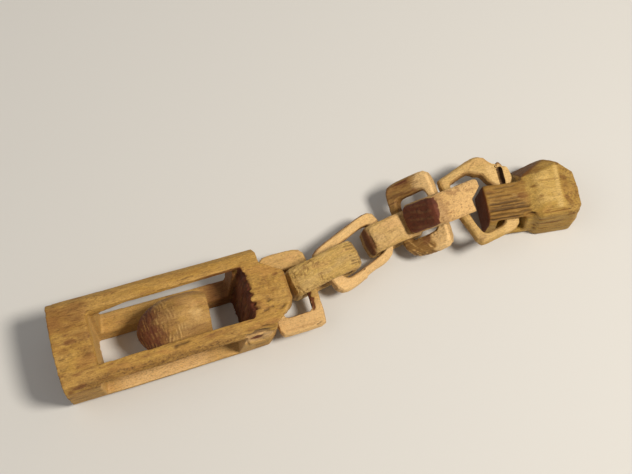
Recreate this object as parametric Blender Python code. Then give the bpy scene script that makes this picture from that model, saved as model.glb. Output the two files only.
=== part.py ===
"""A whittled wooden whimsy: a caged ball, seven loose links and a knob, all cut from one stick, lying slack.

Sizes are in millimetres and are scaled to metres when each mesh is finished. +X runs from the cage to the
knob along the chain, +Y points away from the viewer's side and +Z is up. The surface it lies on is Z = 0.
"""

import math

import bmesh
import bpy
from mathutils import Euler, Matrix, Vector

MM = 0.001

# Tones of bare wood, darker where it has weathered
CAGE_COLOUR = (0.50, 0.33, 0.13)
BALL_COLOUR = (0.56, 0.38, 0.19)
KNOB_COLOUR = (0.54, 0.38, 0.16)
LINK_COLOURS = (
    (0.66, 0.48, 0.24),
    (0.60, 0.44, 0.21),
    (0.70, 0.51, 0.27),
    (0.67, 0.49, 0.26),
    (0.66, 0.47, 0.24),
    (0.68, 0.50, 0.29),
    (0.62, 0.44, 0.20),
)

# The cage
CAGE_LENGTH = 92.0
CAGE_HEIGHT = 31.0
CAGE_TOP_FAR = 20.6
CAGE_TOP_NEAR = 22.2
CAGE_BASE_FAR = 16.6
CAGE_BASE_NEAR = 19.0
CAGE_TAPER = 0.955
CAGE_END_BULGE = 1.2
CAGE_PLACE = (-124.0, -22.5, 0.0)
CAGE_YAW = -2.0
WINDOW_TOP_FAR = 10.0
WINDOW_TOP_NEAR = 13.7
WINDOW_BASE_FAR = 7.2
WINDOW_BASE_NEAR = 10.6
WINDOW_START = 16.2
WINDOW_END_TOP = 83.5
WINDOW_END_BASE = 77.0
SIDE_WINDOW_LOW = 7.0
SIDE_WINDOW_HIGH = 26.0
SIDE_WINDOW_START_FAR = 19.8
SIDE_WINDOW_START_NEAR = 14.6
SIDE_WINDOW_END_FAR = 80.5
SIDE_WINDOW_END_NEAR = 77.4
FAR_SLIT_HIGH = 28.6
FAR_SLIT_REACH = 17.0
TONGUE_TIP = 101.4
TONGUE_ROOT_FAR = 10.5
TONGUE_ROOT_NEAR = 18.5
TONGUE_TIP_FAR = 3.8
TONGUE_TIP_NEAR = 12.0
TONGUE_EYE_START = 91.7
TONGUE_EYE_END = 97.8
TONGUE_EYE_LOW = 6.4
TONGUE_EYE_HIGH = 17.6

# The ball
BALL_RADIUS = 13.0
BALL_LENGTH = 32.5
BALL_SQUARENESS = 3.6
BALL_CENTRE = (49.8, -1.8, 16.3)

# The links
LINK_STATIONS = 40
LINK_6_PLACE = (55.9, -14.2, 21.5)
LINK_6_TURN = (115.2, 27.2, 15.0)
NOTCH_APEX = (6.2, 11.5, 1.4)
LINK_7_PLACE = (73.8, -14.5, 15.7)
LINK_7_TURN = (3.3, 13.7, 2.1)
LINK_7_THICKNESS = 5.4
SPLIT_START = (15.4, 14.6)
SPLIT_END = (12.8, 1.6)
SPLIT_WIDTH = 2.8
SPLIT_DEPTH = 3.8

# The knob
KNOB_PLACE = (72.5, -16.2, 0.0)
KNOB_YAW = -10.0
KNOB_START = 20.2
KNOB_END = 45.6
KNOB_FAR = 19.6
KNOB_NEAR = 12.9
KNOB_HEIGHT = 23.0
KNOB_TONGUE_FAR = 7.4
KNOB_TONGUE_NEAR = 11.2
KNOB_TONGUE_HEIGHT = 20.4
KNOB_EYE_START = 6.5
KNOB_EYE_END = 19.6
KNOB_EYE_LOW = 4.9
KNOB_EYE_HIGH = 16.9


def start_empty():
    """Clears the file of objects."""
    for thing in list(bpy.data.objects):
        bpy.data.objects.remove(thing, do_unlink=True)


def wood(name, colour, roughness=0.7):
    """Bare wood of one tone."""
    material = bpy.data.materials.new(name)
    material.use_nodes = True
    surface = material.node_tree.nodes["Principled BSDF"]
    surface.inputs["Base Color"].default_value = (*colour, 1.0)
    surface.inputs["Roughness"].default_value = roughness
    surface.inputs["Metallic"].default_value = 0.0
    return material


def outline_radius(flats, angle, crispness):
    """How far a whittled outline lies from its middle: each flat is (direction in degrees, distance)."""
    total = 0.0
    for direction, distance in flats:
        facing = math.cos(angle - math.radians(direction))
        if facing > 0:
            total += (facing / distance) ** crispness
    return total ** (-1.0 / crispness)


def even_angles(flats, crispness, count):
    """Angles whose points lie about evenly along the outline."""
    fine = 720
    points = []
    for step in range(fine + 1):
        angle = 2 * math.pi * step / fine
        radius = outline_radius(flats, angle, crispness)
        points.append(Vector((radius * math.cos(angle), radius * math.sin(angle))))
    lengths = [0.0]
    for before, after in zip(points, points[1:]):
        lengths.append(lengths[-1] + (after - before).length)
    angles = []
    step = 0
    for index in range(count):
        wanted = lengths[-1] * index / count
        while lengths[step + 1] < wanted:
            step += 1
        share = (wanted - lengths[step]) / (lengths[step + 1] - lengths[step])
        angles.append(2 * math.pi * (step + share) / fine)
    return angles


def finished(name, bm, material, place=(0, 0, 0), turn=(0, 0, 0), sharp_degrees=35.0):
    """Makes an object of a mesh in millimetres, turned by roll, pitch and yaw in degrees."""
    turned = Euler([math.radians(angle) for angle in turn], "XYZ").to_matrix().to_4x4()
    bm.transform(Matrix.Diagonal((MM, MM, MM, 1.0)))
    bm.normal_update()
    bmesh.ops.recalc_face_normals(bm, faces=bm.faces)
    mesh = bpy.data.meshes.new(name)
    bm.to_mesh(mesh)
    bm.free()
    mesh.shade_smooth()
    mesh.set_sharp_from_angle(angle=math.radians(sharp_degrees))
    mesh.materials.append(material)
    thing = bpy.data.objects.new(name, mesh)
    bpy.context.scene.collection.objects.link(thing)
    thing.matrix_world = Matrix.Translation(Vector(place) * MM) @ turned
    return thing


def carved_link(name, material, outer, hole, thickness, place, turn, crispness=7.0, chamfer=1.3, crown=0.5):
    """A closed ring lying flat round its own Z axis, with pared edges and a slightly crowned rim."""
    half = thickness / 2
    bm = bmesh.new()
    rings = []
    for angle in even_angles(outer, crispness, LINK_STATIONS):
        far = outline_radius(outer, angle, crispness)
        near = outline_radius(hole, angle, crispness)
        pare = min(chamfer, (far - near) / 3)
        section = [
            (far, pare - half),
            (far + crown, 0.0),
            (far, half - pare),
            (far - pare, half),
            (near + pare, half),
            (near, half - pare),
            (near, pare - half),
            (near + pare, -half),
            (far - pare, -half),
        ]
        along = Vector((math.cos(angle), math.sin(angle), 0.0))
        rings.append([bm.verts.new(along * reach + Vector((0, 0, level))) for reach, level in section])
    for before, after in zip(rings, rings[1:] + rings[:1]):
        for index in range(len(before)):
            following = (index + 1) % len(before)
            bm.faces.new((before[index], after[index], after[following], before[following]))
    return finished(name, bm, material, place, turn)


def pared(bm, point, direction):
    """Takes off all that lies beyond a plane, as one knife cut."""
    geometry = bm.verts[:] + bm.edges[:] + bm.faces[:]
    cut = bmesh.ops.bisect_plane(
        bm,
        geom=geometry,
        dist=0.0001,
        plane_co=point,
        plane_no=direction,
        clear_outer=True,
        clear_inner=False,
    )
    rim = [edge for edge in cut["geom_cut"] if isinstance(edge, bmesh.types.BMEdge)]
    bmesh.ops.contextual_create(bm, geom=rim)


def block(low, high):
    """A plain box between two corners, as a mesh to pare."""
    bm = bmesh.new()
    bmesh.ops.create_cube(bm, size=1.0)
    size = [b - a for a, b in zip(low, high)]
    middle = [(a + b) / 2 for a, b in zip(low, high)]
    bmesh.ops.scale(bm, vec=size, verts=bm.verts)
    bmesh.ops.translate(bm, vec=middle, verts=bm.verts)
    return bm


def bevelled(bm, width, segments=1):
    """Softens every edge of a mesh."""
    bmesh.ops.bevel(
        bm,
        geom=bm.edges[:],
        offset=width,
        offset_type="OFFSET",
        segments=segments,
        profile=0.5,
        affect="EDGES",
        clamp_overlap=True,
        material=-1,
    )


def hidden_cutter(thing):
    """Marks a shape as a guide that is not part of the object."""
    thing.hide_render = True
    thing.display_type = "WIRE"
    return thing


def join_or_cut(target, other, operation):
    """Adds a Boolean that joins or cuts."""
    step = target.modifiers.new(f"{operation.lower()} {other.name}", "BOOLEAN")
    step.operation = operation
    step.object = other
    step.solver = "EXACT"


def cage_section(count):
    """Outline of the cage's stock across its length: wider above than below, with rounded corners."""
    far = (CAGE_TOP_FAR + CAGE_BASE_FAR) / 2
    near = (CAGE_TOP_NEAR + CAGE_BASE_NEAR) / 2
    lean_far = math.atan2(CAGE_TOP_FAR - CAGE_BASE_FAR, CAGE_HEIGHT)
    lean_near = math.atan2(CAGE_TOP_NEAR - CAGE_BASE_NEAR, CAGE_HEIGHT)
    middle = CAGE_HEIGHT / 2
    flats = [
        (90, middle),
        (-90, middle),
        (-math.degrees(lean_far), far * math.cos(lean_far)),
        (180 + math.degrees(lean_near), near * math.cos(lean_near)),
        (48, 22.6),
        (132, 24.0),
        (-40, 22.0),
        (-140, 23.6),
    ]
    crispness = 16.0
    section = []
    for angle in even_angles(flats, crispness, count):
        radius = outline_radius(flats, angle, crispness)
        section.append((radius * math.cos(angle), middle + radius * math.sin(angle)))
    return section


def cage_body(material):
    """The solid stock of the cage, with a slightly domed end."""
    section = cage_section(32)
    stations = 8
    bm = bmesh.new()
    rings = []
    for station in range(stations):
        share = station / (stations - 1)
        scale = 1 + (CAGE_TAPER - 1) * max(0.0, share - 0.3) / 0.7
        ring = []
        for across, level in section:
            bulge = CAGE_END_BULGE * (1 - share) ** 6 * (1 - ((across + 4) / 24) ** 2)
            ring.append(bm.verts.new((CAGE_LENGTH * share - bulge, across * scale, level)))
        rings.append(ring)
    for before, after in zip(rings, rings[1:]):
        for index in range(len(before)):
            following = (index + 1) % len(before)
            bm.faces.new((before[index], before[following], after[following], after[index]))
    bm.faces.new(rings[0])
    bm.faces.new(rings[-1])
    pared(bm, (90.2, CAGE_TOP_FAR, 0), (1, 0.3, 0))
    pared(bm, (87.0, -19.0, 8), (1, -1.2, -0.25))
    return finished("cage", bm, material, CAGE_PLACE, (0, 0, CAGE_YAW))


def cage_tongue(material):
    """The bail that stands out of the cage's end: wedge-shaped from above and cut back towards its foot."""
    root = CAGE_LENGTH - 7
    low = 0.8
    high = CAGE_HEIGHT - 0.5
    length = TONGUE_TIP - CAGE_LENGTH
    bm = block((root, -TONGUE_ROOT_NEAR, low), (TONGUE_TIP, TONGUE_ROOT_FAR, high))
    pared(bm, (TONGUE_TIP, TONGUE_TIP_FAR, 0), (TONGUE_ROOT_FAR - TONGUE_TIP_FAR, length, 0))
    pared(bm, (TONGUE_TIP, -TONGUE_TIP_NEAR, high), (TONGUE_ROOT_NEAR - TONGUE_TIP_NEAR, -length, -2.6))
    pared(bm, (TONGUE_TIP, -9.5, high), (1, -0.9, -0.1))
    pared(bm, (TONGUE_TIP - 1.4, 0, high), (1, 0, 0.8))
    pared(bm, (TONGUE_TIP, 0, 17), (1, 0, -0.36))
    bevelled(bm, 0.8)
    return finished("tongue_stock", bm, material, CAGE_PLACE, (0, 0, CAGE_YAW))


def cage_cutters(material):
    """The two windows that cross in the cage, the slope under its far bar and the eye through its tongue."""
    wide = 40.0
    upright = block((WINDOW_START, -wide, -8), (wide + WINDOW_END_TOP, wide, CAGE_HEIGHT + 8))
    far_rake = (WINDOW_TOP_FAR - WINDOW_BASE_FAR) / CAGE_HEIGHT
    near_rake = (WINDOW_TOP_NEAR - WINDOW_BASE_NEAR) / CAGE_HEIGHT
    end_rake = (WINDOW_END_TOP - WINDOW_END_BASE) / CAGE_HEIGHT
    pared(upright, (0, WINDOW_TOP_FAR, CAGE_HEIGHT), (0, 1, -far_rake))
    pared(upright, (0, -WINDOW_TOP_NEAR, CAGE_HEIGHT), (0, -1, -near_rake))
    pared(upright, (WINDOW_END_TOP, 0, CAGE_HEIGHT), (1, 0, -end_rake))
    across = block((0, -wide, SIDE_WINDOW_LOW), (wide + WINDOW_END_TOP, wide, SIDE_WINDOW_HIGH))
    spread = WINDOW_TOP_FAR + WINDOW_TOP_NEAR + 16
    start_skew = (SIDE_WINDOW_START_FAR - SIDE_WINDOW_START_NEAR) / spread
    end_skew = (SIDE_WINDOW_END_FAR - SIDE_WINDOW_END_NEAR) / spread
    pared(across, (SIDE_WINDOW_START_NEAR, -CAGE_TOP_NEAR, 0), (-1, start_skew, 0))
    pared(across, (SIDE_WINDOW_END_NEAR, -CAGE_TOP_NEAR, SIDE_WINDOW_HIGH), (1, -end_skew, -end_rake))
    slit_start = SIDE_WINDOW_START_FAR + 0.5
    slit = block((slit_start, 0, SIDE_WINDOW_HIGH - 1), (WINDOW_END_TOP, FAR_SLIT_REACH, FAR_SLIT_HIGH))
    pared(slit, (0, WINDOW_TOP_FAR, FAR_SLIT_HIGH), (0, 0.38, 1))
    pared(slit, (SIDE_WINDOW_START_FAR, 0, SIDE_WINDOW_HIGH), (-0.2, 0, 1))
    pared(slit, (WINDOW_END_TOP - 0.6, 0, CAGE_HEIGHT), (1, 0, -end_rake))
    eye = block((TONGUE_EYE_START, -wide, TONGUE_EYE_LOW), (TONGUE_EYE_END, wide, TONGUE_EYE_HIGH))
    bevelled(eye, 1.2)
    shapes = (("upright_window", upright), ("cross_window", across), ("far_slit", slit), ("tongue_eye", eye))
    return [
        hidden_cutter(finished(name, bm, material, CAGE_PLACE, (0, 0, CAGE_YAW)))
        for name, bm in shapes
    ]


def cage(material):
    """The cage with its tongue."""
    body = cage_body(material)
    tongue = hidden_cutter(cage_tongue(material))
    join_or_cut(body, tongue, "UNION")
    for cutter in cage_cutters(material):
        join_or_cut(body, cutter, "DIFFERENCE")
    return body


def captive_ball(material):
    """The roughly rounded plug that slides in the cage, domed at one end and cut square at the other."""
    bm = bmesh.new()
    bmesh.ops.create_icosphere(bm, subdivisions=4, radius=BALL_RADIUS)
    for vertex in bm.verts:
        reach = vertex.co.x / BALL_RADIUS
        if 0 < reach < 0.98:
            squarer = (1 - reach**BALL_SQUARENESS) ** (1 / BALL_SQUARENESS)
            fuller = squarer / math.sqrt(1 - reach**2)
            vertex.co.y *= fuller
            vertex.co.z *= fuller
    bmesh.ops.scale(bm, vec=(1.45, 1, 1), verts=bm.verts)
    bmesh.ops.translate(bm, vec=(1.45 * BALL_RADIUS - BALL_LENGTH / 2, 0, 0), verts=bm.verts)
    pared(bm, (BALL_LENGTH / 2 - 0.4, 0, 0), (1, -0.06, -0.06))
    pared(bm, (BALL_LENGTH / 2 - 7, 0, BALL_RADIUS - 1.3), (0.28, -0.1, 1))
    pared(bm, (BALL_LENGTH / 2 - 3, -BALL_RADIUS + 3.4, 4), (0.25, -1, 0.55))
    pared(bm, (BALL_LENGTH / 2 - 2.6, BALL_RADIUS - 1.8, 4), (0.5, 1, 0.4))
    centre = Vector(BALL_CENTRE)
    yawed = Matrix.Rotation(math.radians(CAGE_YAW), 3, "Z") @ centre
    return finished("captive_ball", bm, material, Vector(CAGE_PLACE) + yawed, (0, 0, CAGE_YAW))


def knob(material):
    """The blocky end piece: a faceted knob with a tongue and an eye."""
    body = block((KNOB_START, -KNOB_NEAR, 0), (KNOB_END, KNOB_FAR, KNOB_HEIGHT))
    for point, direction in (
        ((36.5, 0, KNOB_HEIGHT), (0.42, 0, 1)),
        ((30, 8.0, KNOB_HEIGHT), (-0.25, 0.62, 1)),
        ((KNOB_START, 0, KNOB_TONGUE_HEIGHT - 0.3), (-0.36, 0, 1)),
        ((21, 9.0, 20), (-0.43, 0.77, 0.48)),
        ((40, 14.0, 12), (0.75, 1, 0.25)),
        ((30, KNOB_FAR, 11), (-0.08, 1, 0.35)),
        ((KNOB_START, 15.5, 11), (-1, 0.55, 0.2)),
        ((KNOB_START, -9.0, 10), (-1, -1.3, 0)),
        ((KNOB_END, -9.0, 10), (1, -1.1, 0)),
        ((30, -10.6, KNOB_HEIGHT), (0, -1, 0.75)),
    ):
        pared(body, point, direction)
    bevelled(body, 1.6)
    stock = finished("knob", body, material, KNOB_PLACE, (0, 0, KNOB_YAW))
    tongue = block((0, -KNOB_TONGUE_NEAR, 1), (24, KNOB_TONGUE_FAR, KNOB_TONGUE_HEIGHT))
    pared(tongue, (0.4, 0, 10), (-1, 0, 0.17))
    pared(tongue, (0, 0, 8), (-1, 0, -0.3))
    pared(tongue, (0, -KNOB_TONGUE_NEAR, 16), (0, -1, 0.5))
    bevelled(tongue, 1.0)
    spur = hidden_cutter(finished("knob_tongue", tongue, material, KNOB_PLACE, (0, 0, KNOB_YAW)))
    join_or_cut(stock, spur, "UNION")
    eye = block((KNOB_EYE_START, -40, KNOB_EYE_LOW), (KNOB_EYE_END, 40, KNOB_EYE_HIGH))
    bevelled(eye, 0.5)
    opening = hidden_cutter(finished("knob_eye", eye, material, KNOB_PLACE, (0, 0, KNOB_YAW)))
    join_or_cut(stock, opening, "DIFFERENCE")
    return stock


def notch(material):
    """The fish-tail cut at one end of the pitched link: two sloping knife cuts that meet in a valley."""
    bm = block((-2, -4, -14), (40, 30, 14))
    pared(bm, NOTCH_APEX, (-1.0, -1.05, 0.03))
    pared(bm, NOTCH_APEX, (-5.2, -5.6, -8.6))
    return hidden_cutter(finished("notch", bm, material, LINK_6_PLACE, LINK_6_TURN))


def split(material):
    """The V-shaped split that runs along one bar of the last link."""
    run_x = SPLIT_END[0] - SPLIT_START[0]
    run_y = SPLIT_END[1] - SPLIT_START[1]
    half = math.hypot(run_x, run_y) / 2
    bottom = LINK_7_THICKNESS / 2 - SPLIT_DEPTH
    bm = block((-half, -3, bottom - 1), (half, 3, bottom + 6))
    pared(bm, (0, 0, bottom), (0, SPLIT_DEPTH, -SPLIT_WIDTH / 2))
    pared(bm, (0, 0, bottom), (0, -SPLIT_DEPTH, -SPLIT_WIDTH / 2))
    along = Matrix.Rotation(math.atan2(run_y, run_x), 4, "Z")
    middle = Vector((SPLIT_START[0] + run_x / 2, SPLIT_START[1] + run_y / 2, 0))
    bm.transform(Matrix.Translation(middle) @ along)
    return hidden_cutter(finished("split", bm, material, LINK_7_PLACE, LINK_7_TURN))


def links(materials):
    """The seven loose links, from the cage to the knob, alternately flat and on edge."""
    made = [
        carved_link(
            "link_1",
            materials[0],
            outer=[(0, 9.9), (180, 11.4), (90, 20.1), (-90, 17.8), (50, 20.2)],
            hole=[(0, 5.3), (180, 7.3), (90, 11.3), (-90, 10.2)],
            thickness=5.6,
            place=(-19.8, -27.2, 10.7),
            turn=(2.2, -1.6, -2.1),
            crispness=12.0,
            chamfer=0.7,
        ),
        carved_link(
            "link_2",
            materials[1],
            outer=[(0, 16.8), (180, 16.4), (90, 12.3), (-90, 11.8)],
            hole=[(0, 11.0), (180, 11.4), (90, 6.1), (-90, 6.4)],
            thickness=12.8,
            place=(-5.3, -22.0, 12.77),
            turn=(103.8, -0.8, 8.3),
            crispness=6.0,
        ),
        carved_link(
            "link_3",
            materials[2],
            outer=[(0, 17.9), (180, 18.6), (90, 10.8), (-90, 13.3), (-35, 20.2)],
            hole=[(0, 12.5), (180, 12.2), (90, 5.8), (-90, 8.8)],
            thickness=6.0,
            place=(12.2, -16.6, 11.4),
            turn=(15.6, 6.8, 22.2),
            chamfer=0.9,
        ),
        carved_link(
            "link_4",
            materials[3],
            outer=[(0, 15.9), (180, 12.1), (90, 10.5), (-90, 9.0), (52, 10.4)],
            hole=[(0, 12.2), (180, 8.1), (90, 5.1), (-90, 5.3), (52, 7.0)],
            thickness=12.9,
            place=(30.2, -13.9, 10.1),
            turn=(104.7, 0.0, 6.9),
        ),
        carved_link(
            "link_5",
            materials[4],
            outer=[(0, 12.0), (180, 12.2), (90, 18.7), (-90, 18.0), (-140, 18.0)],
            hole=[(0, 7.5), (180, 7.7), (90, 10.4), (-90, 9.2)],
            thickness=6.5,
            place=(45.2, -12.2, 14.9),
            turn=(14.4, -35.2, -8.7),
        ),
        carved_link(
            "link_6",
            materials[5],
            outer=[(0, 15.3), (180, 16.9), (90, 11.5), (-90, 11.6)],
            hole=[(0, 9.8), (180, 9.4), (90, 6.2), (-90, 6.9)],
            thickness=14.1,
            place=LINK_6_PLACE,
            turn=LINK_6_TURN,
            crispness=10.0,
            chamfer=1.1,
        ),
        carved_link(
            "link_7",
            materials[6],
            outer=[(108, 18.5), (44, 24.3), (-16, 17.4), (-80, 19.1), (-167, 14.1)],
            hole=[(108, 13.4), (44, 9.9), (-16, 9.7), (-80, 14.8), (-167, 9.7)],
            thickness=LINK_7_THICKNESS,
            place=LINK_7_PLACE,
            turn=LINK_7_TURN,
            crispness=14.0,
            chamfer=1.2,
        ),
    ]
    join_or_cut(made[5], notch(materials[5]), "DIFFERENCE")
    join_or_cut(made[6], split(materials[6]), "DIFFERENCE")
    return made


def stand_on_origin(things):
    """Puts the middle of the footprint at the origin and the lowest point on Z = 0."""
    bpy.context.view_layer.update()
    depsgraph = bpy.context.evaluated_depsgraph_get()
    points = []
    for thing in things:
        evaluated = thing.evaluated_get(depsgraph)
        mesh = evaluated.to_mesh()
        points += [evaluated.matrix_world @ vertex.co for vertex in mesh.vertices]
        evaluated.to_mesh_clear()
    low = [min(point[axis] for point in points) for axis in range(3)]
    high = [max(point[axis] for point in points) for axis in range(3)]
    shift = Vector((-(low[0] + high[0]) / 2, -(low[1] + high[1]) / 2, -low[2]))
    for thing in bpy.data.objects:
        thing.matrix_world = Matrix.Translation(shift) @ thing.matrix_world


def main():
    start_empty()
    cage_wood = wood("cage_wood", CAGE_COLOUR)
    ball_wood = wood("ball_wood", BALL_COLOUR)
    knob_wood = wood("knob_wood", KNOB_COLOUR)
    link_woods = [wood(f"link_{index + 1}_wood", colour) for index, colour in enumerate(LINK_COLOURS)]
    things = [cage(cage_wood), captive_ball(ball_wood), knob(knob_wood), *links(link_woods)]
    stand_on_origin(things)


main()
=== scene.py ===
import math

import bmesh
import bpy
import numpy as np
from mathutils import Euler, Matrix, Vector


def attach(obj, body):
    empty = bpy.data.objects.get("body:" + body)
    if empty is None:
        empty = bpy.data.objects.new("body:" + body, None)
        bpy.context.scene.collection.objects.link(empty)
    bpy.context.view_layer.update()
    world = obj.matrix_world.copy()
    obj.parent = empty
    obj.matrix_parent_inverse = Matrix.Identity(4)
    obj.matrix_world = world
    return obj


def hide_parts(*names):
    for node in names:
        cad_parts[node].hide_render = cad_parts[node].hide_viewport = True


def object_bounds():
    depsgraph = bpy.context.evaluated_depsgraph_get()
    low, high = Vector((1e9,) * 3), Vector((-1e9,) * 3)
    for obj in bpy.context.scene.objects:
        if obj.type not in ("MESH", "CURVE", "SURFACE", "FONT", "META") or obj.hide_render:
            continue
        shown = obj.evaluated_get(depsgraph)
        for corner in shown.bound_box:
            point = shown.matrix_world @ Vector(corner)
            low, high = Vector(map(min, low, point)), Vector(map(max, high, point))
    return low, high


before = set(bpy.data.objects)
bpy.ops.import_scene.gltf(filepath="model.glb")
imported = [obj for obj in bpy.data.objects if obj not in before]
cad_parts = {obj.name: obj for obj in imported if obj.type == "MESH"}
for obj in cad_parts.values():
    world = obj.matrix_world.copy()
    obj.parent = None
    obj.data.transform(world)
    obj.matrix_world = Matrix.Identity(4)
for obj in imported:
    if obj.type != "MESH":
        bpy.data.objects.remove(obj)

# The whimsy is cut from one stick: a caged ball, seven links and a knob. Every piece here starts as a
# fine-grained copy of its solid, turned so that its own X runs along the wood's grain, in millimetres.
# Knife facets, grain, cracks, pits and worn edges are then worked into that surface.

MM = 0.001

# Corners of a solid's loose triangles that are nearer than this are one corner, in metres
SAME_CORNER = 0.000002

# From the row's own origin to the shared frame's, in millimetres
FOOT = (2.935, 18.922, 0.0)

# No mark stands further than this above a solid, so that neighbours stay clear of each other
LIFT_LIMIT = 0.12

# Where each piece lies in the row: its place in millimetres and its turn in degrees
LIES = {
    "cage": ((-124.0, -22.5, 0.0), (0.0, 0.0, -2.0)),
    "knob": ((72.5, -16.2, 0.0), (0.0, 0.0, -10.0)),
    "link_1": ((-19.8, -27.2, 10.7), (2.2, -1.6, -2.1)),
    "link_2": ((-5.3, -22.0, 12.77), (103.8, -0.8, 8.3)),
    "link_3": ((12.2, -16.6, 11.4), (15.6, 6.8, 22.2)),
    "link_4": ((30.2, -13.9, 10.1), (104.7, 0.0, 6.9)),
    "link_5": ((45.2, -12.2, 14.9), (14.4, -35.2, -8.7)),
    "link_6": ((55.9, -14.2, 21.5), (115.2, 27.2, 15.0)),
    "link_7": ((73.8, -14.5, 15.7), (3.3, 13.7, 2.1)),
}
BALL_IN_CAGE = Vector((49.8, -1.8, 16.3))
cage_place, cage_turn = LIES["cage"]
ball_offset = Matrix.Rotation(math.radians(cage_turn[2]), 3, "Z") @ BALL_IN_CAGE
LIES["captive_ball"] = (tuple(Vector(cage_place) + ball_offset), cage_turn)

# What a surface's stains show: old brown, fresh cuts, dark hollows, reddish wood and fine dark specks. In
# places brown, rust, hollow and pale also carry painted shade and painted light.
STAINS = ("brown", "pale", "hollow", "rust", "speck")


def turn_of(name):
    return Euler([math.radians(angle) for angle in LIES[name][1]], "XYZ")


def lie_matrix(name):
    """Carries a piece's own millimetres to its place in metres."""
    place = Vector(LIES[name][0]) + Vector(FOOT)
    turned = turn_of(name).to_matrix().to_4x4()
    return Matrix.Translation(place * MM) @ turned @ Matrix.Diagonal((MM, MM, MM, 1.0))


# Uneven patterns

# Large odd numbers that send neighbouring places to unrelated numbers
PLACE_MIX = (374761393, 668265263, 1442695041)
SEED_MIX = 974634777
FIRST_MIX = 1274126177
SECOND_MIX = 60493
LOW_32_BITS = 0xFFFFFFFF
LOW_24_BITS = 0xFFFFFF


def scatter(cells, seed):
    """A repeatable number from 0 to 1 for each whole-numbered place."""
    mixed = sum(cells[:, axis] * PLACE_MIX[axis] for axis in range(3)) + seed * SEED_MIX
    mixed &= LOW_32_BITS
    mixed = ((mixed ^ (mixed >> 13)) * FIRST_MIX) & LOW_32_BITS
    mixed = ((mixed ^ (mixed >> 16)) * SECOND_MIX) & LOW_32_BITS
    return ((mixed ^ (mixed >> 15)) & LOW_24_BITS) / LOW_24_BITS


def uneven(points, seed):
    """Smooth unevenness from -1 to 1 with bumps about one unit wide."""
    base = np.floor(points).astype(np.int64)
    part = points - base
    part = part * part * (3 - 2 * part)
    total = np.zeros(len(points))
    for corner in range(8):
        step = np.array([corner >> axis & 1 for axis in range(3)])
        weight = np.prod(np.where(step == 1, part, 1 - part), axis=1)
        total += weight * scatter(base + step, seed)
    return total * 2 - 1


def rough(points, seed, layers=3):
    """Unevenness with finer unevenness on it."""
    return sum(uneven(points * 2**layer, seed + layer) / 2**layer for layer in range(layers))


def patches(points, seed):
    """Distance to the middle of the nearest patch, and how far the next patch is beyond it."""
    base = np.floor(points).astype(np.int64)
    first = np.full(len(points), 9.0)
    second = np.full(len(points), 9.0)
    for index in range(27):
        step = np.array([index // 9 - 1, index // 3 % 3 - 1, index % 3 - 1])
        cell = base + step
        middle = cell + np.stack([scatter(cell, seed + axis) for axis in range(3)], axis=1)
        away = np.linalg.norm(points - middle, axis=1)
        second = np.where(away < first, first, np.minimum(second, away))
        first = np.minimum(first, away)
    return first, second - first


def ramp(values, low, high):
    """0 below low, 1 above high and a smooth rise between."""
    share = np.clip((values - low) / (high - low), 0, 1)
    return share * share * (3 - 2 * share)


def within(values, low, high, soft):
    """1 between two limits and 0 outside them, with soft edges."""
    return ramp(values, low - soft, low + soft) * (1 - ramp(values, high - soft, high + soft))


def along_line(points, start, end):
    """Distance from each point to a straight line between two points, and the share along it."""
    start = np.array(start, float)
    run = np.array(end, float) - start
    share = np.clip((points - start) @ run / (run @ run), 0, 1)
    return np.linalg.norm(points - start - share[:, None] * run, axis=1), share


def from_line(points, start, end):
    """Distance from each point to a straight line between two points."""
    return along_line(points, start, end)[0]


# Surfaces to carve

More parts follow.
